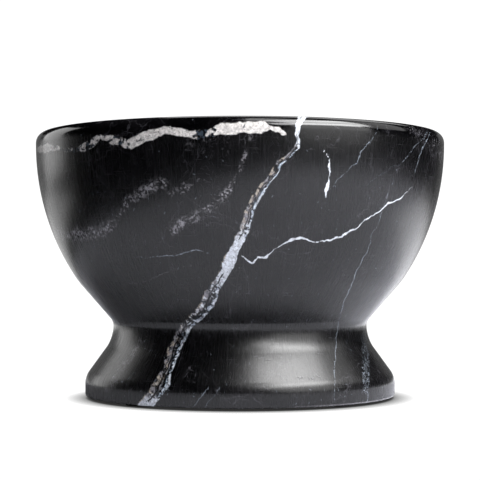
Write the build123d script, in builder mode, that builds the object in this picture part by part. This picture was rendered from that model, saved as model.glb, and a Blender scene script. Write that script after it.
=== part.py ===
from build123d import *
import math
import os

# Shaving bowl: a pedestal bowl turned from one block of black marble, standing on four soft pads
# that are glued into shallow seats in its underside.
# The z axis is the bowl's turning axis. z = 0 is the table, under the pads. Millimetres throughout.

# Overall sizes
BOWL_DIAMETER = 120.0  # widest, just under the lip
BOWL_HEIGHT = 77.4  # table to the top of the lip
FOOT_DIAMETER = 91.0  # widest part of the flared foot
WAIST_DIAMETER = 74.7  # narrow neck between the foot and the bowl

# Foot: an upright side that leans in along a straight flare and hollows out to the neck
FLARE_START = 6.3  # height where the upright side and the flare would meet in a corner
FLARE_ANGLE = 36.0  # the flare's lean from upright, degrees
SHOULDER_ROUND = 5.5  # between the side and the flare
COVE_ROUND = 10.0  # between the flare and the neck
FOOT_EDGE = 0.6  # chamfer round the bottom edge

# Wall: a straight underside that runs into one long arc
CREASE_HEIGHT = 22.4  # where the underside leaves the neck
UNDERSIDE_TOP = 34.0  # where the underside meets the wall's arc
WALL_SWEEP = 70.0  # radius of the wall's arc
WALL_TOP = 74.0  # where the wall turns upright, level with the centre of its arc
KNUCKLE_ROUND = 30.0  # between the underside and the wall's arc
CREASE_ROUND = 3.0  # left in the crease by the turning tool

# Lip and hollow
WALL_THICKNESS = 7.0
LIP_ROUND = 3.0
FLOOR_HEIGHT = 29.0  # inside floor
FLOOR_ROUND = 25.0  # inside, between the floor and the wall

# Underside: a relieved middle, so that only the outer ring carries pads
RELIEF_DIAMETER = 60.0
RELIEF_DEPTH = 1.5
RELIEF_ROUND = 1.0

# Pads and their seats, one in each quarter of the underside
PAD_QUARTERS = ("right_rear", "left_rear", "left_front", "right_front")
PAD_DIAMETER = 10.0
PAD_THICKNESS = 1.5
PAD_EDGE_ROUND = 0.4
PAD_PROUD = 0.7  # how far a pad stands below the stone
PAD_CIRCLE = 38.0  # radius of the ring that the pads sit on
SEAT_CLEARANCE = 0.2  # gap round a pad in its seat

bowl_radius = BOWL_DIAMETER / 2
foot_radius = FOOT_DIAMETER / 2
waist_radius = WAIST_DIAMETER / 2
relief_radius = RELIEF_DIAMETER / 2
mouth_radius = bowl_radius - WALL_THICKNESS
stone_bottom = PAD_PROUD
relief_height = stone_bottom + RELIEF_DEPTH

# The flare climbs far enough to lean in from the foot's radius to the waist's
flare_top = FLARE_START + (foot_radius - waist_radius) / math.tan(math.radians(FLARE_ANGLE))

# The wall's outer and inner faces are arcs round one centre
arc_centre = bowl_radius - WALL_SWEEP
inner_sweep = WALL_SWEEP - WALL_THICKNESS


def arc_point(sweep, height):
    """The point of a wall arc at a height, as (radius, height)."""
    return (arc_centre + math.sqrt(sweep**2 - (WALL_TOP - height) ** 2), height)


def nearest_corner(sketch, radius, height):
    """The corner of the section's outline nearest to a point."""
    return sketch.vertices().sort_by_distance((radius, height, 0))[0]


outer_foot_of_arc = arc_point(WALL_SWEEP, UNDERSIDE_TOP)
inner_foot_of_arc = arc_point(inner_sweep, FLOOR_HEIGHT)
pad_places = PolarLocations(PAD_CIRCLE, len(PAD_QUARTERS), start_angle=45)

# Stone bowl: half of its section, spun round the turning axis
with BuildPart() as stone_bowl:
    with BuildSketch(Plane.XZ) as section:
        with BuildLine():
            Polyline(
                (0, FLOOR_HEIGHT),
                (0, relief_height),
                (relief_radius, relief_height),
                (relief_radius, stone_bottom),
                (foot_radius, stone_bottom),
                (foot_radius, FLARE_START),
                (waist_radius, flare_top),
                (waist_radius, CREASE_HEIGHT),
                outer_foot_of_arc,
            )
            ThreePointArc(
                outer_foot_of_arc,
                arc_point(WALL_SWEEP, (UNDERSIDE_TOP + WALL_TOP) / 2),
                (bowl_radius, WALL_TOP),
            )
            Polyline(
                (bowl_radius, WALL_TOP),
                (bowl_radius, BOWL_HEIGHT),
                (mouth_radius, BOWL_HEIGHT),
                (mouth_radius, WALL_TOP),
            )
            ThreePointArc(
                (mouth_radius, WALL_TOP),
                arc_point(inner_sweep, (FLOOR_HEIGHT + WALL_TOP) / 2),
                inner_foot_of_arc,
            )
            Line(inner_foot_of_arc, (0, FLOOR_HEIGHT))
        make_face()
        chamfer(nearest_corner(section, foot_radius, stone_bottom), FOOT_EDGE)
        for radius, height, rounding in (
            (relief_radius, relief_height, RELIEF_ROUND),
            (foot_radius, FLARE_START, SHOULDER_ROUND),
            (waist_radius, flare_top, COVE_ROUND),
            (waist_radius, CREASE_HEIGHT, CREASE_ROUND),
            (*outer_foot_of_arc, KNUCKLE_ROUND),
            (bowl_radius, BOWL_HEIGHT, LIP_ROUND),
            (mouth_radius, BOWL_HEIGHT, LIP_ROUND),
            (*inner_foot_of_arc, FLOOR_ROUND),
        ):
            fillet(nearest_corner(section, radius, height), rounding)
    revolve(axis=Axis.Z)
    with BuildSketch(Plane.XY.offset(stone_bottom)):
        with pad_places:
            Circle(PAD_DIAMETER / 2 + SEAT_CLEARANCE)
    extrude(amount=PAD_THICKNESS - PAD_PROUD, mode=Mode.SUBTRACT)
stone_bowl.part.label = "stone_bowl"

os.makedirs("parts", exist_ok=True)
export_step(stone_bowl.part, "parts/stone_bowl.step")

# Foot pads: soft discs with their lower edge rounded off
for quarter, place in zip(PAD_QUARTERS, pad_places):
    with BuildPart() as foot_pad:
        with BuildSketch(Plane.XY):
            with Locations(place):
                Circle(PAD_DIAMETER / 2)
        extrude(amount=PAD_THICKNESS)
        fillet(foot_pad.edges().group_by(Axis.Z)[0], PAD_EDGE_ROUND)
    foot_pad.part.label = f"foot_pad_{quarter}"
    export_step(foot_pad.part, f"parts/foot_pad_{quarter}.step")
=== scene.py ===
import math

import bmesh
import bpy
import mathutils
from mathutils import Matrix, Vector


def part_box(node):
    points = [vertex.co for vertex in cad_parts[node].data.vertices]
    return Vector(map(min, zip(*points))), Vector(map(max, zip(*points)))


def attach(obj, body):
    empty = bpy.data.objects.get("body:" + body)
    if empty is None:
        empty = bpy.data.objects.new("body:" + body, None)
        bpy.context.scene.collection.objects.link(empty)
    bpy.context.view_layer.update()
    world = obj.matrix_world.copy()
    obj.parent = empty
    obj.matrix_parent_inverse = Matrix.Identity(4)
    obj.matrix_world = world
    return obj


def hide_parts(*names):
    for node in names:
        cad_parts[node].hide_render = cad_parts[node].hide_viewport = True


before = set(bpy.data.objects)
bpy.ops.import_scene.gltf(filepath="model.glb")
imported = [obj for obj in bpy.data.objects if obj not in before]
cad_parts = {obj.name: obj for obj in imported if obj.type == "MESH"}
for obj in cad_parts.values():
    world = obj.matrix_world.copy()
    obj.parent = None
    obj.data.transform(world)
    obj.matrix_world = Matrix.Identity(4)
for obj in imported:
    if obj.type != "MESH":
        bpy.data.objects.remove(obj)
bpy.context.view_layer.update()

# Stone bowl.
# One block of black marble turned on a lathe: a flared foot that hollows in to a neck, a straight
# underside that runs into a long curved wall, and a rounded lip. Four shallow seats for the foot pads
# are bored into its underside afterwards.
MM = 0.001
BOWL_RADIUS = 60.0 * MM
BOWL_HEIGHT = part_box("stone_bowl")[1].z
STONE_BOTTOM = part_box("stone_bowl")[0].z
FOOT_RADIUS = 45.5 * MM
WAIST_RADIUS = 37.35 * MM
FLARE_START = 6.3 * MM
FLARE_ANGLE = math.radians(36)
SHOULDER_ROUND = 5.5 * MM
COVE_ROUND = 10.0 * MM
FOOT_EDGE = 0.6 * MM
CREASE_HEIGHT = 22.4 * MM
CREASE_ROUND = 3.0 * MM
UNDERSIDE_TOP = 34.0 * MM
KNUCKLE_ROUND = 30.0 * MM
WALL_SWEEP = 70.0 * MM
WALL_TOP = 74.0 * MM
WALL_THICKNESS = 7.0 * MM
LIP_ROUND = 3.0 * MM
FLOOR_HEIGHT = 29.0 * MM
FLOOR_ROUND = 25.0 * MM
RELIEF_RADIUS = 30.0 * MM
RELIEF_DEPTH = 1.5 * MM
RELIEF_ROUND = 1.0 * MM
RING_EDGE_ROUND = 0.3 * MM
PAD_QUARTERS = ("right_rear", "left_rear", "left_front", "right_front")
SEAT_CLEARANCE = 0.2 * MM
TURNING_STEPS = 256
SEAT_STEPS = 64
SAME_POINT = 0.001 * MM
SHARP_TURN = math.radians(25)  # a sharper turn than this between two faces is a crisp edge

arc_centre = BOWL_RADIUS - WALL_SWEEP
mouth_radius = BOWL_RADIUS - WALL_THICKNESS
inner_sweep = WALL_SWEEP - WALL_THICKNESS
flare_top = FLARE_START + (FOOT_RADIUS - WAIST_RADIUS) / math.tan(FLARE_ANGLE)
relief_height = STONE_BOTTOM + RELIEF_DEPTH
wall_turn = math.asin((WALL_TOP - UNDERSIDE_TOP) / WALL_SWEEP)
underside_radius = arc_centre + WALL_SWEEP * math.cos(wall_turn)

# The round at the bottom of the hollow touches the floor and the wall's inner arc
round_height = FLOOR_HEIGHT + FLOOR_ROUND
round_centre = arc_centre + math.sqrt((inner_sweep - FLOOR_ROUND) ** 2 - (WALL_TOP - round_height) ** 2)
inner_turn = math.asin((WALL_TOP - round_height) / (inner_sweep - FLOOR_ROUND))

section = bmesh.new()


def line_to(start, radius, height):
    """Carries the section's outline on to a new point."""
    end = section.verts.new((radius, 0, height))
    section.edges.new((start, end))
    return end


def arc_from(start, centre, turn, steps):
    """Carries the outline on round a centre in the section's plane."""
    swept = bmesh.ops.spin(
        section, geom=[start], cent=(centre[0], 0, centre[1]), axis=(0, 1, 0), angle=turn, steps=steps
    )
    return next(part for part in swept["geom_last"] if isinstance(part, bmesh.types.BMVert))


def round_corner(corner, radius, turn, segments):
    """Rounds a corner of the outline; turn is how far the outline turns there."""
    bmesh.ops.bevel(
        section,
        geom=[corner],
        offset=radius * math.tan(turn / 2),
        offset_type="OFFSET",
        segments=segments,
        profile=0.5,
        affect="VERTICES",
        material=-1,
    )


under_middle = section.verts.new((0, 0, relief_height))
relief_corner = line_to(under_middle, RELIEF_RADIUS, relief_height)
ring_edge = line_to(relief_corner, RELIEF_RADIUS, STONE_BOTTOM)
foot_edge = line_to(ring_edge, FOOT_RADIUS, STONE_BOTTOM)
shoulder = line_to(foot_edge, FOOT_RADIUS, FLARE_START)
hollow = line_to(shoulder, WAIST_RADIUS, flare_top)
crease = line_to(hollow, WAIST_RADIUS, CREASE_HEIGHT)
knuckle = line_to(crease, underside_radius, UNDERSIDE_TOP)
wall_top = arc_from(knuckle, (arc_centre, WALL_TOP), -wall_turn, 20)
outer_lip = line_to(wall_top, BOWL_RADIUS, BOWL_HEIGHT)
inner_lip = line_to(outer_lip, mouth_radius, BOWL_HEIGHT)
inner_top = line_to(inner_lip, mouth_radius, WALL_TOP)
inner_foot = arc_from(inner_top, (arc_centre, WALL_TOP), inner_turn, 18)
floor_edge = arc_from(inner_foot, (round_centre, round_height), math.pi / 2 - inner_turn, 14)
line_to(floor_edge, 0, FLOOR_HEIGHT)
underside_lean = math.atan2(underside_radius - WAIST_RADIUS, UNDERSIDE_TOP - CREASE_HEIGHT)
round_corner(relief_corner, RELIEF_ROUND, math.pi / 2, 4)
round_corner(ring_edge, RING_EDGE_ROUND, math.pi / 2, 2)
round_corner(foot_edge, FOOT_EDGE, math.pi / 2, 2)
round_corner(shoulder, SHOULDER_ROUND, FLARE_ANGLE, 10)
round_corner(hollow, COVE_ROUND, FLARE_ANGLE, 10)
round_corner(crease, CREASE_ROUND, underside_lean, 8)
round_corner(knuckle, KNUCKLE_ROUND, underside_lean - wall_turn, 4)
round_corner(outer_lip, LIP_ROUND, math.pi / 2, 10)
round_corner(inner_lip, LIP_ROUND, math.pi / 2, 10)
bmesh.ops.spin(
    section,
    geom=section.verts[:] + section.edges[:],
    cent=(0, 0, 0),
    axis=(0, 0, 1),
    angle=math.tau,
    steps=TURNING_STEPS,
    use_merge=True,
)
bmesh.ops.remove_doubles(section, verts=section.verts, dist=SAME_POINT)
bmesh.ops.recalc_face_normals(section, faces=section.faces)


def piece_from(shape, name):
    """Makes an object of a finished shape, at the origin."""
    mesh = bpy.data.meshes.new(name)
    shape.to_mesh(mesh)
    shape.free()
    piece = bpy.data.objects.new(name, mesh)
    bpy.context.collection.objects.link(piece)
    return piece


# The seats are bored with plugs a little wider than the pads, as deep as the pads go in
plugs = bmesh.new()
for quarter in PAD_QUARTERS:
    low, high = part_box("foot_pad_" + quarter)
    seat_radius = (high.x - low.x) / 2 + SEAT_CLEARANCE
    rim = bmesh.ops.create_circle(plugs, cap_ends=True, segments=SEAT_STEPS, radius=seat_radius)
    bmesh.ops.translate(plugs, verts=rim["verts"], vec=((low.x + high.x) / 2, (low.y + high.y) / 2, low.z))
    bottom = rim["verts"][0].link_faces[0]
    top = bmesh.ops.extrude_face_region(plugs, geom=[bottom], use_keep_orig=True)["geom"]
    raised = [part for part in top if isinstance(part, bmesh.types.BMVert)]
    bmesh.ops.translate(plugs, verts=raised, vec=(0, 0, high.z - low.z))
bmesh.ops.recalc_face_normals(plugs, faces=plugs.faces)
seat_plugs = piece_from(plugs, "seat_plugs")
bowl = piece_from(section, "turned_bowl")
boring = bowl.modifiers.new("seats", "BOOLEAN")
boring.operation = "DIFFERENCE"
boring.solver = "EXACT"
boring.object = seat_plugs
bored_mesh = bpy.data.meshes.new_from_object(bowl.evaluated_get(bpy.context.evaluated_depsgraph_get()))
bowl.modifiers.clear()
bowl.data = bored_mesh
bpy.data.objects.remove(seat_plugs)
for face in bored_mesh.polygons:
    face.use_smooth = True
bored_mesh.set_sharp_from_angle(angle=SHARP_TURN)

# The marble is black limestone shot with calcite, honed with fine abrasive after turning and left
# unsealed. The eye sees a satin black that mirrors the room softly, white and cold grey veins that run
# right through the block, a faint web of hairlines and the finest marks of the abrasive.
STONE_IOR = 1.5
STONE_ROUGHNESS = 0.27
SCRATCH_ROUGHNESS = 0.36
LIP_POLISH = 0.17  # how much smoother the lip is than the wall
LIP_START, LIP_FULL = 73.0, 75.0  # heights in mm between which that polish comes in
STONE_RELIEF = 0.02 * MM  # depth of the grain and of the marks in it
STONE_BLACK = "#040405"
STONE_CLOUD = "#141315"
HAIRLINE_GREY = "#5c5b61"
SCRATCH_GREY = "#5a595e"
CALCITE_WHITE = "#e2dedb"
CALCITE_ICE = "#dde2ea"
CALCITE_COLD = "#a6b0bd"
CALCITE_GREY = "#918f94"
CALCITE_BEIGE = "#b3a89c"
CALCITE_BRUISE = "#36404a"
VEIN_REACH = 80.0  # mm from the middle of the block that a vein's list may reach to
WIDEST_VEIN = 10.0  # mm, half of its width
DRIFT_START, DRIFT_END = -10.0, 60.0  # mm behind the turning axis
DRIFT = (26.0, 0.0, 21.0)  # mm that the veins have moved by the end of that
CLOUD_SIZE = 14.0  # mm
WEB_FOLD_SIZE = 16.0  # mm
WEB_FOLD_REACH = (26.0, 26.0, 26.0)  # mm
SPECK_SPACING = 2.6  # mm
SEAM_EDGE = 0.15  # mm over which the main vein's edge fades
STRAND_EDGE = 0.12  # mm
KNOCK_HEIGHT = 9.6  # mm, at the shoulder of the foot
# Height of the painted highlight along the foot's lower edge:
HIGHLIGHT_EDGE_HEIGHT = 0.95  # mm, at the foot's lower edge
STREAK_SIZE = (0.6, 20.0, 25.0)  # mm round the bowl, outwards and up


def colour(text):
    """An sRGB hex colour as linear red, green, blue and alpha."""
    parts = [int(text[i : i + 2], 16) / 255 for i in (1, 3, 5)]
    return [p / 12.92 if p <= 0.04045 else ((p + 0.055) / 1.055) ** 2.4 for p in parts] + [1.0]


def add(tree, kind, feeds, out=0, **settings):
    """Adds a node with its settings, feeds its inputs with links or values, and gives one output."""
    node = tree.nodes.new(kind)
    for name, value in settings.items():
        setattr(node, name, value)
    for name, feed in feeds.items():
        if isinstance(feed, bpy.types.NodeSocket):
            tree.links.new(feed, node.inputs[name])
        else:
            node.inputs[name].default_value = feed
    return node.outputs[out]


marble = bpy.data.materials.new("honed_black_marble")
marble.use_nodes = True
stone = marble.node_tree
stone_face = stone.nodes["Principled BSDF"]
place = add(stone, "ShaderNodeTexCoord", {}, out="Object")
in_mm = add(stone, "ShaderNodeVectorMath", {0: place, "Scale": 1 / MM}, operation="SCALE")
spot = add(stone, "ShaderNodeSeparateXYZ", {"Vector": in_mm}).node.outputs

# Folds in the rock bend every vein: slow ones 9 mm across, ripples of 2.4 mm and a 0.7 mm raggedness
bent = in_mm
for size, reach in ((9.0, 1.5), (2.4, 1.3), (0.7, 0.45)):
    swirl = add(
        stone, "ShaderNodeTexNoise", {"Vector": in_mm, "Scale": 1 / size, "Detail": 2.0}, out="Color"
    )
    push = add(
        stone,
        "ShaderNodeVectorMath",
        {0: swirl, 1: (reach, reach, reach), 2: (-reach / 2, -reach / 2, -reach / 2)},
        operation="MULTIPLY_ADD",
    )
    bent = add(stone, "ShaderNodeVectorMath", {0: bent, 1: push}, operation="ADD")

# Towards the far side the veins have dipped and drifted, so that the back doesn't repeat the front
far_side = add(
    stone,
    "ShaderNodeMapRange",
    {"Value": spot["Y"], "From Min": DRIFT_START, "From Max": DRIFT_END},
    interpolation_type="SMOOTHSTEP",
)
drift = add(stone, "ShaderNodeVectorMath", {0: DRIFT, "Scale": far_side}, operation="SCALE")
drifted = add(stone, "ShaderNodeVectorMath", {0: bent, 1: drift}, operation="ADD")
drifted_spot = add(stone, "ShaderNodeSeparateXYZ", {"Vector": drifted}).node.outputs
rightwards, backwards, upwards = drifted_spot["X"], drifted_spot["Y"], drifted_spot["Z"]

# Textures that the veins share: wisps of 3.4 mm, blotches of 1.8 mm, crystals of 0.7 mm, 0.35 mm pits
wisps, blotches, crystals, pits = (
    add(
        stone,
        "ShaderNodeTexNoise",
        {"Vector": in_mm, "Scale": 1 / size, "Detail": detail, "Roughness": rough, "Distortion": curl},
    )
    for size, detail, rough, curl in (
        (3.4, 6.0, 0.74, 1.4), (1.8, 4.0, 0.62, 0.3), (0.7, 3.0, 0.65, 0.4), (0.35, 1.0, 0.5, 0.0)
    )
)


def follow(along, points):
    """Reads a vein's list along its run: its middle, its half width and how whole it is there."""
    first, last = points[0][0], points[-1][0]
    share = add(stone, "ShaderNodeMapRange", {"Value": along, "From Min": first, "From Max": last})
    ramp = add(stone, "ShaderNodeValToRGB", {"Fac": share})
    ramp.node.color_ramp.interpolation = "CARDINAL"
    stops = ramp.node.color_ramp.elements
    while len(stops) < len(points):
        stops.new(0.5)
    for stop, (where, middle, half, whole) in zip(stops, points):
        stop.position = (where - first) / (last - first)
        stop.color = (middle / VEIN_REACH / 2 + 0.5, half / WIDEST_VEIN, whole, 1.0)
    values = add(stone, "ShaderNodeSeparateColor", {"Color": ramp}).node.outputs
    reach = {0: values["Red"], 1: 2 * VEIN_REACH, 2: -VEIN_REACH}
    middle = add(stone, "ShaderNodeMath", reach, operation="MULTIPLY_ADD")
    half = add(stone, "ShaderNodeMath", {0: values["Green"], 1: WIDEST_VEIN}, operation="MULTIPLY")
    begun = add(stone, "ShaderNodeMath", {0: along, 1: first}, operation="GREATER_THAN")
    unended = add(stone, "ShaderNodeMath", {0: along, 1: last}, operation="LESS_THAN")
    present = add(stone, "ShaderNodeMath", {0: begun, 1: unended}, operation="MULTIPLY")
    return middle, half, values["Blue"], present


def band(across, middle, half, edge):
    """1 within half a width of a line and 0 beyond it, with an edge this soft."""
    away = add(stone, "ShaderNodeMath", {0: across, 1: middle}, operation="SUBTRACT")
    distance = add(stone, "ShaderNodeMath", {0: away}, operation="ABSOLUTE")
    outer = add(stone, "ShaderNodeMath", {0: half, 1: edge}, operation="ADD")
    inner = add(stone, "ShaderNodeMath", {0: half, 1: -edge}, operation="ADD")
    return add(
        stone,
        "ShaderNodeMapRange",
        {"Value": distance, "From Min": outer, "From Max": inner},
        interpolation_type="SMOOTHSTEP",
    )


def crumbled(texture, whole, softness):
    """The share of a vein that is left where it is only this whole, picked out by a texture."""
    cut = add(stone, "ShaderNodeMath", {0: whole, 1: -0.5, 2: 0.75}, operation="MULTIPLY_ADD")
    full = add(stone, "ShaderNodeMath", {0: cut, 1: softness}, operation="ADD")
    return add(
        stone,
        "ShaderNodeMapRange",
        {"Value": texture, "From Min": cut, "From Max": full},
        interpolation_type="SMOOTHSTEP",
    )


# What lies over the black ground, from the bottom up: shares that together say how much of it shows,
# and its colour
layers = []
clouds = add(
    stone,
    "ShaderNodeTexNoise",
    {"Vector": bent, "Scale": 1 / CLOUD_SIZE, "Detail": 5.0, "Roughness": 0.65},
)
cloudy = add(stone, "ShaderNodeMapRange", {"Value": clouds, "From Min": 0.45, "From Max": 0.72})
layers.append(((cloudy,), STONE_CLOUD))

# A web of hairlines, in cells of 21 mm and 9 mm, drawn out by folds and showing only here and there
web_fold = add(
    stone, "ShaderNodeTexNoise", {"Vector": in_mm, "Scale": 1 / WEB_FOLD_SIZE, "Detail": 4.0}, out="Color"
)
web_place = add(
    stone, "ShaderNodeVectorMath", {0: web_fold, 1: WEB_FOLD_REACH, 2: bent}, operation="MULTIPLY_ADD"
)
for cell, half, showing, strength in ((21.0, 0.07, 0.44, 0.5), (9.0, 0.06, 0.5, 0.4)):
    web = add(
        stone,
        "ShaderNodeTexVoronoi",
        {"Vector": web_place, "Scale": 1 / cell},
        feature="DISTANCE_TO_EDGE",
    )
    hairline = add(
        stone,
        "ShaderNodeMapRange",
        {"Value": web, "From Min": 2 * half / cell, "From Max": 0.0, "To Max": strength},
        interpolation_type="SMOOTHSTEP",
    )
    here = add(
        stone, "ShaderNodeMapRange", {"Value": clouds, "From Min": showing, "From Max": showing + 0.12}
    )
    layers.append(((hairline, here), HAIRLINE_GREY))

# Specks of calcite up to 0.3 mm across, one to every second cell
speck_cells = add(stone, "ShaderNodeTexVoronoi", {"Vector": in_mm, "Scale": 1 / SPECK_SPACING}).node.outputs
speck_size = add(stone, "ShaderNodeSeparateColor", {"Color": speck_cells["Color"]})
speck_rim = add(
    stone, "ShaderNodeMapRange", {"Value": speck_size, "From Min": 0.5, "From Max": 1.0, "To Max": 0.06}
)
speck = add(stone, "ShaderNodeMath", {0: speck_cells["Distance"], 1: speck_rim}, operation="LESS_THAN")
layers.append(((speck, 0.4), CALCITE_COLD))

# The smaller veins, as (place along the run, middle across it, half width, how whole), in mm. Smoky
# ones are wisps of grey crystals, hairs are single cracks, and the top left one is solid with pits.
# Those of the side run from front to back, and taper in near the middle of the block
SMOKY_LEFT = (
    (-60, 47, 1.2, 0.55), (-50, 47.5, 1.5, 0.7), (-38, 47.8, 1.3, 0.75), (-33, 50.5, 1.2, 0.6),
    (-30.5, 54.5, 1.2, 0.65), (-25.5, 57.8, 1.2, 0.75), (-20, 60, 1.1, 0.7), (-17, 58, 0.8, 0.6),
    (-12, 60, 0.9, 0.6), (-9, 60.5, 0.4, 0.4),
)  # fmt: skip
SMOKY_MIDDLE = (
    (-19, 47.5, 1.1, 0.55), (-14.5, 50, 1.3, 0.75), (-9, 52.5, 1.0, 0.65), (-5.5, 55, 1.2, 0.65),
    (-2.5, 58, 1.3, 0.85), (-1, 61.5, 0.8, 0.5), (1, 66, 1.3, 0.65), (3.5, 70, 0.6, 0.4),
)  # fmt: skip
SMOKY_FOOT = ((-38, 3.5, 1.0, 0.6), (-34, 9, 1.6, 0.85), (-29, 15, 1.6, 0.8), (-26, 19, 0.8, 0.5))
SMOKY_TOP = ((-24, 66, 1.0, 0.2), (-14, 69.5, 2.0, 0.45), (3, 70.5, 2.5, 0.45), (9, 70, 1.0, 0.2))
SMOKY_RIM = ((46, 76, 2.0, 0.5), (56, 72, 3.0, 0.55), (64, 66, 2.5, 0.5))
THIN_RIGHT = (
    (0.5, 41.2, 0.1, 0.8), (3, 39.8, 0.35, 1.0), (4.5, 41.2, 0.2, 1.0), (7, 41.4, 0.3, 1.0),
    (8.6, 43.2, 0.12, 0.8), (15.2, 45.7, 0.28, 0.95), (20, 45, 0.12, 0.7), (27, 46.5, 0.2, 0.9),
    (33, 50.5, 0.14, 0.85), (39, 54.2, 0.2, 0.95), (44.5, 57.5, 0.12, 0.85), (47, 60, 0.03, 0.4),
)  # fmt: skip
LONG_HAIR = (
    (2, 25.5, 0.05, 0.7), (15, 26.3, 0.07, 0.8), (25, 28, 0.08, 0.8), (31, 29.5, 0.14, 0.9),
    (41, 33.5, 0.08, 0.8), (49, 36.5, 0.06, 0.7), (62, 41, 0.04, 0.6),
)  # fmt: skip
SPINDLE = (
    (56.5, 22.4, 0.02, 0.9), (58.2, 22.5, 0.55, 1.0), (60, 22.8, 0.35, 1.0), (61.5, 23.1, 0.04, 0.8),
    (64.8, 23, 0.28, 0.95), (66.5, 22.8, 0.05, 0.6), (69, 21.5, 0.5, 0.35), (71, 21, 0.1, 0.2),
)  # fmt: skip
SLANT_HAIR = ((57.5, 23, 0.04, 0.7), (64.5, 29, 0.1, 0.85), (70.5, 33.5, 0.08, 0.8), (75, 36.5, 0.04, 0.6))
UPPER_HAIR = ((59.5, 33, 0.04, 0.7), (65.5, 42, 0.06, 0.8), (72, 48.5, 0.08, 0.8), (76, 52, 0.04, 0.6))
RIM_HAIR = ((64, 47.5, 0.05, 0.8), (70, 50, 0.1, 0.85), (76, 52.5, 0.05, 0.7))
MIDDLE_HAIR = (
    (-28, 40.8, 0.04, 0.5), (-16.5, 41.3, 0.12, 0.9), (-11.5, 42.4, 0.12, 0.9), (-7, 42, 0.04, 0.4),
)  # fmt: skip
LOWER_HAIR = (
    (-44, 35.5, 0.05, 0.6), (-30, 34, 0.06, 0.7), (-20, 36.5, 0.08, 0.75), (-8, 40, 0.04, 0.5),
)  # fmt: skip
LOWEST_HAIR = (
    (-38, 29.5, 0.05, 0.5), (-27, 29.5, 0.06, 0.65), (-15, 33, 0.06, 0.5), (-7, 35.5, 0.04, 0.4),
)  # fmt: skip
FOOT_HAIR = (
    (0, 34.8, 0.12, 0.8), (3, 35.3, 0.15, 0.5), (5, 34.8, 0.8, 0.34), (12, 35.5, 1.1, 0.32),
    (19, 36, 0.8, 0.2),
)  # fmt: skip
FOOT_CUT = ((0.5, -12.5, 0.05, 0.9), (5.5, -9, 0.1, 1.0), (6.5, -8.5, 0.02, 0.6))
FOOT_NICK = ((0.5, -9.5, 0.04, 0.8), (6.5, -5.5, 0.06, 0.8))
SIDE_VEIN = (
    (-6, 63, 0.05, 0.7), (2, 62, 0.3, 0.9), (12, 67, 0.5, 0.95), (22, 64, 0.25, 0.8),
    (30, 70, 0.6, 1.0), (44, 66, 0.3, 0.85), (60, 72, 0.5, 0.9),
)  # fmt: skip
SIDE_HAIR = (
    (-6, 29, 0.04, 0.6), (4, 34, 0.08, 0.8), (16, 50, 0.12, 0.9), (27, 60, 0.07, 0.8),
    (40, 86, 0.1, 0.85),
)  # fmt: skip
SIDE_SMOKE = (
    (-5, 15, 0.6, 0.5), (8, 24, 1.8, 0.75), (22, 28, 1.4, 0.7), (34, 42, 1.8, 0.75), (48, 50, 0.8, 0.5),
)  # fmt: skip
TOP_LEFT = (
    (-58, 72, 0.6, 0.7), (-55.5, 71.8, 1.2, 0.9), (-52, 71.3, 1.0, 0.85), (-48.5, 70.5, 0.5, 0.6),
    (-44, 69.8, 0.6, 0.5), (-41, 70.5, 1.2, 0.6), (-37.5, 72.1, 0.9, 0.65), (-36.6, 72.2, 0.4, 0.6),
    (-34, 71.8, 1.1, 0.75), (-31.5, 71, 1.1, 0.55), (-28.5, 70.6, 1.3, 0.75), (-24.7, 72.1, 1.4, 0.8),
    (-21, 73, 1.2, 0.85), (-18, 73.8, 1.0, 0.85), (-15, 73.1, 1.0, 0.8), (-12.8, 72.6, 0.8, 0.7),
    (-11.5, 72.5, 1.0, 0.5), (-7, 72.9, 1.0, 0.5), (-5, 73.7, 1.3, 0.95), (5.5, 74.1, 1.4, 0.95),
    (7.5, 74, 0.5, 0.9), (10.5, 72.8, 0.8, 1.0), (11.6, 72.3, 0.1, 1.0),
)  # fmt: skip
# These grains break up the smoky veins and the bruised stone under the top left one
grains = crumbled(crystals, 0.6, 0.12)
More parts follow.
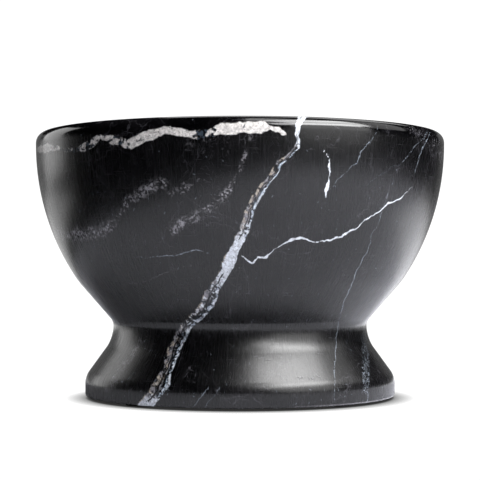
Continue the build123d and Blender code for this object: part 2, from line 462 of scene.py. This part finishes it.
# Each vein: its list, its run, the texture that breaks it, softness of edge and break, colour, strength
for points, run, texture, edge, softness, tint, strength in (
    (SMOKY_TOP, "right", wisps, 1.5, 0.2, CALCITE_GREY, 0.4),
    (SMOKY_RIM, "right", wisps, 2.0, 0.2, CALCITE_GREY, 0.4),
    (SMOKY_LEFT, "right", wisps, 1.2, 0.15, CALCITE_GREY, 1.0),
    (SMOKY_MIDDLE, "right", wisps, 1.0, 0.15, CALCITE_GREY, 1.0),
    (SMOKY_FOOT, "right", wisps, 1.2, 0.2, CALCITE_GREY, 0.6),
    (LONG_HAIR, "up", crystals, 0.08, 0.15, CALCITE_COLD, 0.5),
    (SLANT_HAIR, "up", crystals, 0.07, 0.15, CALCITE_COLD, 0.5),
    (UPPER_HAIR, "up", crystals, 0.07, 0.15, CALCITE_COLD, 0.4),
    (RIM_HAIR, "up", crystals, 0.08, 0.15, CALCITE_COLD, 0.5),
    (FOOT_CUT, "up", crystals, 0.07, 0.1, CALCITE_COLD, 0.5),
    (FOOT_NICK, "up", crystals, 0.07, 0.1, CALCITE_COLD, 0.35),
    (FOOT_HAIR, "up", pits, 0.15, 0.06, CALCITE_COLD, 0.9),
    (MIDDLE_HAIR, "right", crystals, 0.07, 0.15, CALCITE_COLD, 0.6),
    (LOWER_HAIR, "right", crystals, 0.07, 0.2, CALCITE_GREY, 0.35),
    (LOWEST_HAIR, "right", crystals, 0.07, 0.2, CALCITE_GREY, 0.3),
    (SIDE_SMOKE, "back", wisps, 1.2, 0.15, CALCITE_GREY, 1.0),
    (SIDE_HAIR, "back", crystals, 0.08, 0.15, CALCITE_COLD, 0.6),
    (SIDE_VEIN, "back", crystals, 0.1, 0.08, CALCITE_ICE, 0.95),
    (THIN_RIGHT, "right", crystals, 0.1, 0.08, CALCITE_ICE, 0.95),
    (SPINDLE, "up", crystals, 0.1, 0.08, CALCITE_ICE, 1.0),
    (TOP_LEFT, "right", blotches, 0.2, 0.09, CALCITE_WHITE, 1.0),
):
    along = {"right": rightwards, "up": upwards, "back": backwards}[run]
    across = rightwards if run == "up" else upwards
    middle, half, whole, present = follow(along, points)
    body = band(across, middle, half, edge)
    if points is TOP_LEFT:
        layers.append(((body, present, 0.9), STONE_BLACK))
        layers.append(((body, present, grains), CALCITE_BRUISE))
    unbroken = crumbled(texture, whole, softness)
    smoky = grains if texture is wisps else 1.0
    layers.append(((body, present, unbroken, smoky, strength), tint))

# Main vein: a slanting seam with a grey and beige strand on its left, a cold white one on its right and
# bruised stone between. Half way up the wall, at the lip and at the foot solid calcite fills it
SEAM = (
    (-2, -26.5, 2.6, 0.8), (2, -24.8, 2.6, 0.85), (4, -23, 2.2, 0.4), (6.8, -21.3, 2.5, 0.35),
    (10, -19.9, 1.7, 0.2),
    (17.5, -17.3, 1.9, 0.25), (22.5, -14.3, 2.1, 0.45), (27, -9.8, 2.0, 0.5), (33, -6.8, 1.7, 0.55),
    (37.5, -4, 1.7, 0.85), (40, -2.8, 1.7, 1.0), (44.5, -0.6, 1.5, 1.0), (47, 0.8, 1.4, 0.5),
    (54.5, 3.5, 1.3, 0.25), (60.5, 7, 1.15, 0.2), (65.5, 10.6, 1.1, 0.25), (68, 13.5, 0.8, 0.3),
    (70, 14.9, 0.55, 0.6), (72, 14.6, 0.4, 0.75), (74, 14.6, 0.7, 0.95), (76.5, 15.5, 1.15, 0.8),
    (80, 17, 2.0, 0.7),
)  # fmt: skip
middle, half, whole, present = follow(upwards, SEAM)
from_seam = add(stone, "ShaderNodeMath", {0: rightwards, 1: middle}, operation="SUBTRACT")
bed = band(from_seam, 0.0, half, SEAM_EDGE)
layers.append(((bed, present), STONE_BLACK))
layers.append(((bed, present, crumbled(crystals, 0.5, 0.15)), CALCITE_BRUISE))
# Each strand: how far across the seam it lies and how wide it is, in half widths, then the texture that
# breaks it and how whole it is. The last but one is the solid filling, as whole as the seam's list says,
# and the last is the dark crack that splits the filling
solid = add(stone, "ShaderNodeMapRange", {"Value": whole, "From Min": 0.75, "From Max": 1.0})
split = add(stone, "ShaderNodeMath", {0: 0.85, 1: solid}, operation="SUBTRACT")
for side, width, texture, wholeness, tint in (
    (-0.38, 0.55, wisps, 0.6, CALCITE_GREY),
    (-0.5, 0.5, blotches, 0.5, CALCITE_BEIGE),
    (0.74, 0.26, crystals, 0.62, CALCITE_COLD),
    (0.78, 0.14, blotches, 0.6, CALCITE_ICE),
    (0.08, 0.9, blotches, whole, CALCITE_ICE),
    (-0.12, 0.13, crystals, split, STONE_BLACK),
):
    line = add(stone, "ShaderNodeMath", {0: half, 1: side}, operation="MULTIPLY")
    thick = add(stone, "ShaderNodeMath", {0: half, 1: width}, operation="MULTIPLY")
    strand = band(from_seam, line, thick, STRAND_EDGE)
    layers.append(((strand, present, crumbled(texture, wholeness, 0.1)), tint))

# Knocks along the shoulder of the foot, where the edge has crumbled a little, and a painted highlight along
# the foot's lower edge
front = add(stone, "ShaderNodeMath", {0: spot["Y"], 1: 0.0}, operation="LESS_THAN")
ragged_height = add(stone, "ShaderNodeMath", {0: wisps, 1: 2.4, 2: spot["Z"]}, operation="MULTIPLY_ADD")
shoulder_line = band(ragged_height, KNOCK_HEIGHT, 0.4, 0.5)
knocks_and_glints = 0.0
for knock_middle, knock_half, wholeness in ((18.5, 4.0, 0.5), (-9.0, 2.0, 0.3)):
    knock_and_glint = band(spot["X"], knock_middle, knock_half, 2.0)
    for share in (shoulder_line, front, crumbled(crystals, wholeness, 0.2)):
        knock_and_glint = add(stone, "ShaderNodeMath", {0: knock_and_glint, 1: share}, operation="MULTIPLY")
    knocks_and_glints = add(stone, "ShaderNodeMath", {0: knock_and_glint, 1: knocks_and_glints}, operation="MAXIMUM")
# The knocks are painted pale grey. Part of that is the crushed stone of the chips, and part is painted
# glints where the foot's highlight falls on them
layers.append(((knocks_and_glints, 0.4), CALCITE_GREY))
# Painted highlight: a pale grey line along the foot's lower edge, fading in from the front towards the
# right
painted_highlight_side = add(stone, "ShaderNodeMapRange", {"Value": spot["X"], "From Min": 12.0, "From Max": 34.0})
painted_highlight_line = band(spot["Z"], HIGHLIGHT_EDGE_HEIGHT, 0.2, 0.15)
layers.append(((painted_highlight_line, painted_highlight_side, front, 0.7), CALCITE_GREY))

# Marks follow the turning: the first coordinate goes round the bowl in mm, and the others are the radius
# and the height
flat = add(stone, "ShaderNodeVectorMath", {0: in_mm, 1: (1.0, 1.0, 0.0)}, operation="MULTIPLY")
radius = add(stone, "ShaderNodeVectorMath", {0: flat}, out="Value", operation="LENGTH")
away_from_back = add(stone, "ShaderNodeMath", {0: spot["Y"], 1: -1.0}, operation="MULTIPLY")
turn = add(stone, "ShaderNodeMath", {0: spot["X"], 1: away_from_back}, operation="ARCTAN2")
around = add(stone, "ShaderNodeMath", {0: turn, 1: BOWL_RADIUS / MM}, operation="MULTIPLY")
turned_place = add(stone, "ShaderNodeCombineXYZ", {"X": around, "Y": radius, "Z": spot["Z"]})


def marks(lean, size, cut, softness, detail):
    """Marks that lean from upright, where a texture drawn out to cells of this size passes a cut."""
    leaned = add(
        stone, "ShaderNodeMapping", {"Vector": turned_place, "Rotation": (0.0, math.radians(lean), 0.0)}
    )
    drawn_out = add(stone, "ShaderNodeVectorMath", {0: leaned, 1: size}, operation="DIVIDE")
    grit = add(stone, "ShaderNodeTexNoise", {"Vector": drawn_out, "Scale": 1.0, "Detail": detail})
    return add(stone, "ShaderNodeMapRange", {"Value": grit, "From Min": cut, "From Max": cut + softness})


# Honing marks: the lean in degrees, the cell in mm and the cut. Real ones are too fine to show, so these
# are drawn from cells of 0.2 mm
scratches = 0.0
for lean, size, cut in (
    (3.0, (0.22, 20.0, 7.0), 0.71),
    (-9.0, (0.22, 20.0, 5.0), 0.72),
    (0.0, (7.0, 0.25, 0.22), 0.7),
    (32.0, (0.2, 6.0, 3.0), 0.7),
    (-48.0, (0.2, 6.0, 3.0), 0.7),
    (-24.0, (0.2, 6.0, 4.0), 0.7),
    (65.0, (0.2, 6.0, 2.5), 0.71),
):
    mark = marks(lean, size, cut, 0.1, 1.0)
    scratches = add(stone, "ShaderNodeMath", {0: mark, 1: scratches}, operation="MAXIMUM")
layers.append(((scratches, 0.15), SCRATCH_GREY))
# Nicks: the same, but short, far apart and down to the pale crystals under the skin
for lean, length, cut in ((-34.0, 1.5, 0.85), (24.0, 1.3, 0.86), (78.0, 1.6, 0.86)):
    nick = marks(lean, (0.3, 6.0, length), cut, 0.04, 0.0)
    layers.append(((nick, 0.5), CALCITE_COLD))

# A colour mix takes its two colours at sockets 6 and 7 and gives the result at 2
ground = colour(STONE_BLACK)
for shares, tint in layers:
    showing = shares[0]
    for share in shares[1:]:
        showing = add(stone, "ShaderNodeMath", {0: showing, 1: share}, operation="MULTIPLY")
    ground = add(
        stone, "ShaderNodeMix", {"Factor": showing, 6: ground, 7: colour(tint)}, out=2, data_type="RGBA"
    )
# Crystals tint the calcite unevenly, and pits let the black through
shade = add(
    stone, "ShaderNodeMapRange", {"Value": crystals, "From Min": 0.36, "From Max": 0.62, "To Min": 0.5}
)
pit = add(
    stone,
    "ShaderNodeMapRange",
    {"Value": pits, "From Min": 0.64, "From Max": 0.72, "To Min": 1.0, "To Max": 0.25},
)
shaded = add(stone, "ShaderNodeVectorMath", {0: ground, "Scale": shade}, operation="SCALE")
mottled = add(stone, "ShaderNodeVectorMath", {0: shaded, "Scale": pit}, operation="SCALE")
stone.links.new(mottled, stone_face.inputs["Base Color"])

# The abrasive leaves upright streaks 0.6 mm wide that are a little duller or brighter than the rest
streak_place = add(stone, "ShaderNodeVectorMath", {0: turned_place, 1: STREAK_SIZE}, operation="DIVIDE")
streaks = add(stone, "ShaderNodeTexNoise", {"Vector": streak_place, "Scale": 1.0, "Detail": 2.0})
unevenness = {0: streaks, 1: 0.06, 2: STONE_ROUGHNESS - 0.03}
dulled = add(stone, "ShaderNodeMath", unevenness, operation="MULTIPLY_ADD")
roughened = add(
    stone,
    "ShaderNodeMath",
    {0: scratches, 1: SCRATCH_ROUGHNESS - STONE_ROUGHNESS, 2: dulled},
    operation="MULTIPLY_ADD",
)
# Hands and the brush have polished the lip
handled = add(
    stone,
    "ShaderNodeMapRange",
    {"Value": spot["Z"], "From Min": LIP_START, "From Max": LIP_FULL, "To Max": LIP_POLISH},
    interpolation_type="SMOOTHSTEP",
)
roughened = add(stone, "ShaderNodeMath", {0: roughened, 1: handled}, operation="SUBTRACT")
stone.links.new(roughened, stone_face.inputs["Roughness"])
stone_face.inputs["IOR"].default_value = STONE_IOR
grain = add(stone, "ShaderNodeMath", {0: crystals, 1: 0.5, 2: scratches}, operation="MULTIPLY_ADD")
worn = add(stone, "ShaderNodeMath", {0: knocks_and_glints, 1: -8.0, 2: grain}, operation="MULTIPLY_ADD")
bump = add(
    stone, "ShaderNodeBump", {"Height": worn, "Strength": 0.3, "Distance": STONE_RELIEF}, out="Normal"
)
stone.links.new(bump, stone_face.inputs["Normal"])
bored_mesh.materials.clear()
bored_mesh.materials.append(marble)
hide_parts("stone_bowl")
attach(bowl, "root")

# Foot pads.
# Four soft discs of black rubber, die cut from sheet with the lower edge rounded by wear, and glued
# into the seats so that the stone never touches the table.
RUBBER_IOR = 1.52
RUBBER_ROUGHNESS = 0.85
RUBBER_BLACK = "#161616"
RUBBER_DUST = "#2c2b2a"
CRUMB_SIZE = 0.6 * MM
CRUMB_DEPTH = 0.05 * MM

# Vulcanised sheet rubber, cut and not moulded: a dead matt black with a fine crumb and grey dust in it
rubber = bpy.data.materials.new("sheet_rubber")
rubber.use_nodes = True
sheet = rubber.node_tree
rubber_face = sheet.nodes["Principled BSDF"]
rubber_place = add(sheet, "ShaderNodeTexCoord", {}, out="Object")
crumb = add(sheet, "ShaderNodeTexNoise", {"Vector": rubber_place, "Scale": 1 / CRUMB_SIZE, "Detail": 4.0})
dusty = add(
    sheet,
    "ShaderNodeMix",
    {"Factor": crumb, 6: colour(RUBBER_BLACK), 7: colour(RUBBER_DUST)},
    out=2,
    data_type="RGBA",
)
sheet.links.new(dusty, rubber_face.inputs["Base Color"])
rubber_face.inputs["Roughness"].default_value = RUBBER_ROUGHNESS
rubber_face.inputs["IOR"].default_value = RUBBER_IOR
crumb_relief = add(
    sheet, "ShaderNodeBump", {"Height": crumb, "Strength": 0.4, "Distance": CRUMB_DEPTH}, out="Normal"
)
sheet.links.new(crumb_relief, rubber_face.inputs["Normal"])
for quarter in PAD_QUARTERS:
    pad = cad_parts["foot_pad_" + quarter]
    pad.data.materials.clear()
    pad.data.materials.append(rubber)

# Studio.
# The bowl stands on plain white paper that curves up behind it. The paper is no lamp but glows evenly
# white, with a painted shadow as the dark line under the foot. The stone mirrors a white table, soft boxes
# and cards round it instead.
PAPER_RADIUS = 6.0
CONTACT_REACH = 7.0 * MM  # how far the painted shadow under the foot spreads
PAPER_GLOW = 1.08
PAINTED_SHADOW_GLOW = 0.03  # glow left in the painted shadow right under the foot
TABLE_RADIUS = 0.30
TABLE_MIDDLE = (0.15, -0.02, -0.5 * MM)
TABLE_WHITE = "#d2d3dc"
TABLE_ROUGHNESS = 0.9
BOWL_MIDDLE = (0.0, 0.0, 0.04)
CAMERA_PLACE = (0.0, -0.439, 0.0387)
CAMERA_TILT = math.radians(90.99)
CAMERA_LENS = 111.14  # mm; frames the bowl as a long lens does from this near
CAMERA_SENSOR = 36.0  # mm

dome = bmesh.new()
bmesh.ops.create_uvsphere(dome, u_segments=48, v_segments=24, radius=PAPER_RADIUS)
everything = dome.verts[:] + dome.edges[:] + dome.faces[:]
bmesh.ops.bisect_plane(dome, geom=everything, plane_co=(0, 0, 0), plane_no=(0, 0, -1), clear_outer=True)
bmesh.ops.contextual_create(dome, geom=[edge for edge in dome.edges if edge.is_boundary])
bmesh.ops.reverse_faces(dome, faces=dome.faces)
paper = piece_from(dome, "paper")
for rays in ("diffuse", "glossy", "transmission", "shadow"):
    setattr(paper, "visible_" + rays, False)
glowing_paper = bpy.data.materials.new("glowing_paper_painted_shadow")
glowing_paper.use_nodes = True
fibres = glowing_paper.node_tree
paper_face = fibres.nodes["Principled BSDF"]
paper_face.inputs["Base Color"].default_value = colour("#000000")
paper_face.inputs["Specular IOR Level"].default_value = 0.0
paper_face.inputs["Emission Color"].default_value = colour("#ffffff")
# Painted contact shadow: ambient occlusion darkens the paper's glow near the foot
openness = add(fibres, "ShaderNodeAmbientOcclusion", {"Distance": CONTACT_REACH}, out="AO")
squared = add(fibres, "ShaderNodeMath", {0: openness, 1: openness}, operation="MULTIPLY")
glow = add(
    fibres, "ShaderNodeMath", {0: squared, 1: PAPER_GLOW, 2: PAINTED_SHADOW_GLOW}, operation="MULTIPLY_ADD"
)
fibres.links.new(glow, paper_face.inputs["Emission Strength"])
paper.data.materials.append(glowing_paper)

top = bmesh.new()
bmesh.ops.create_circle(top, cap_ends=True, segments=128, radius=TABLE_RADIUS)
bmesh.ops.translate(top, verts=top.verts, vec=TABLE_MIDDLE)
table = piece_from(top, "table")
table.visible_camera = False
laminate = bpy.data.materials.new("white_laminate")
laminate.use_nodes = True
laminate_face = laminate.node_tree.nodes["Principled BSDF"]
laminate_face.inputs["Base Color"].default_value = colour(TABLE_WHITE)
laminate_face.inputs["Roughness"].default_value = TABLE_ROUGHNESS
table.data.materials.append(laminate)


def hang_light(name, place, rotation, width, height, brightness):
    """A flat white light that lights and is mirrored but isn't seen; unturned, it faces down."""
    lamp = bpy.data.lights.new(name, "AREA")
    lamp.shape = "RECTANGLE"
    lamp.size = width
    lamp.size_y = height
    lamp.energy = brightness * math.pi * width * height
    light = bpy.data.objects.new(name, lamp)
    light.location = place
    light.rotation_euler = rotation
    light.visible_camera = False
    bpy.context.collection.objects.link(light)


# Lights that face the bowl: degrees round from the front, degrees up, distance, angles filled, radiance
for name, round_by, up_by, distance, wide, tall, brightness in (
    ("soft_box", 56, 50, 0.65, 40, 36, 10.0),
    ("soft_box_skirt", 62, 46, 0.68, 80, 46, 1.2),
    ("soft_box_foot", 50, 14, 0.75, 44, 18, 2.6),
    ("low_strip", 44, 34, 0.60, 46, 16, 9.0),
    ("left_card", -124, 16, 0.90, 26, 36, 2.0),
    ("rear_wash", 165, 50, 0.80, 40, 25, 1.6),
    ("back_card", 180, 6, 1.20, 70, 22, 0.2),
):
    turn, rise = math.radians(round_by), math.radians(up_by)
    outwards = mathutils.Vector(
        (math.sin(turn) * math.cos(rise), -math.cos(turn) * math.cos(rise), math.sin(rise))
    )
    hang_light(
        name,
        mathutils.Vector(BOWL_MIDDLE) + outwards * distance,
        outwards.to_track_quat("Z", "Y").to_euler(),
        2 * distance * math.tan(math.radians(wide / 2)),
        2 * distance * math.tan(math.radians(tall / 2)),
        brightness,
    )

# Cards that lie on the table behind the bowl: degrees round from the front, near and far end, radiance
for name, round_by, near, far, width, brightness in (
    ("floor_card_left", -150, 0.20, 1.10, 0.50, 1.2),
    ("floor_card_right", 141, 0.12, 0.55, 0.30, 1.2),
):
    turn = math.radians(round_by)
    outwards = mathutils.Vector((math.sin(turn), -math.cos(turn), 0))
    hang_light(name, outwards * (near + far) / 2, (math.pi, 0, turn), width, far - near, brightness)

# A panel over the bowl, a little to the right, that only the gloss of the foot and the lip picks up
hang_light("overhead_panel", (0.22, -0.16, 0.64), (0.0, 0.0, 0.0), 0.40, 0.30, 4.0)
bpy.data.objects["overhead_panel"].visible_diffuse = False

camera_data = bpy.data.cameras.new("camera")
camera_data.sensor_width = CAMERA_SENSOR
camera_data.lens = CAMERA_LENS
camera = bpy.data.objects.new("camera", camera_data)
camera.location = CAMERA_PLACE
camera.rotation_euler = (CAMERA_TILT, 0.0, 0.0)
bpy.context.collection.objects.link(camera)
bpy.context.scene.camera = camera
bpy.context.scene.view_settings.view_transform = "Standard"

room = bpy.data.worlds.new("dark_studio")
room.use_nodes = True
room.node_tree.nodes["Background"].inputs["Color"].default_value = colour("#000000")
bpy.context.scene.world = room
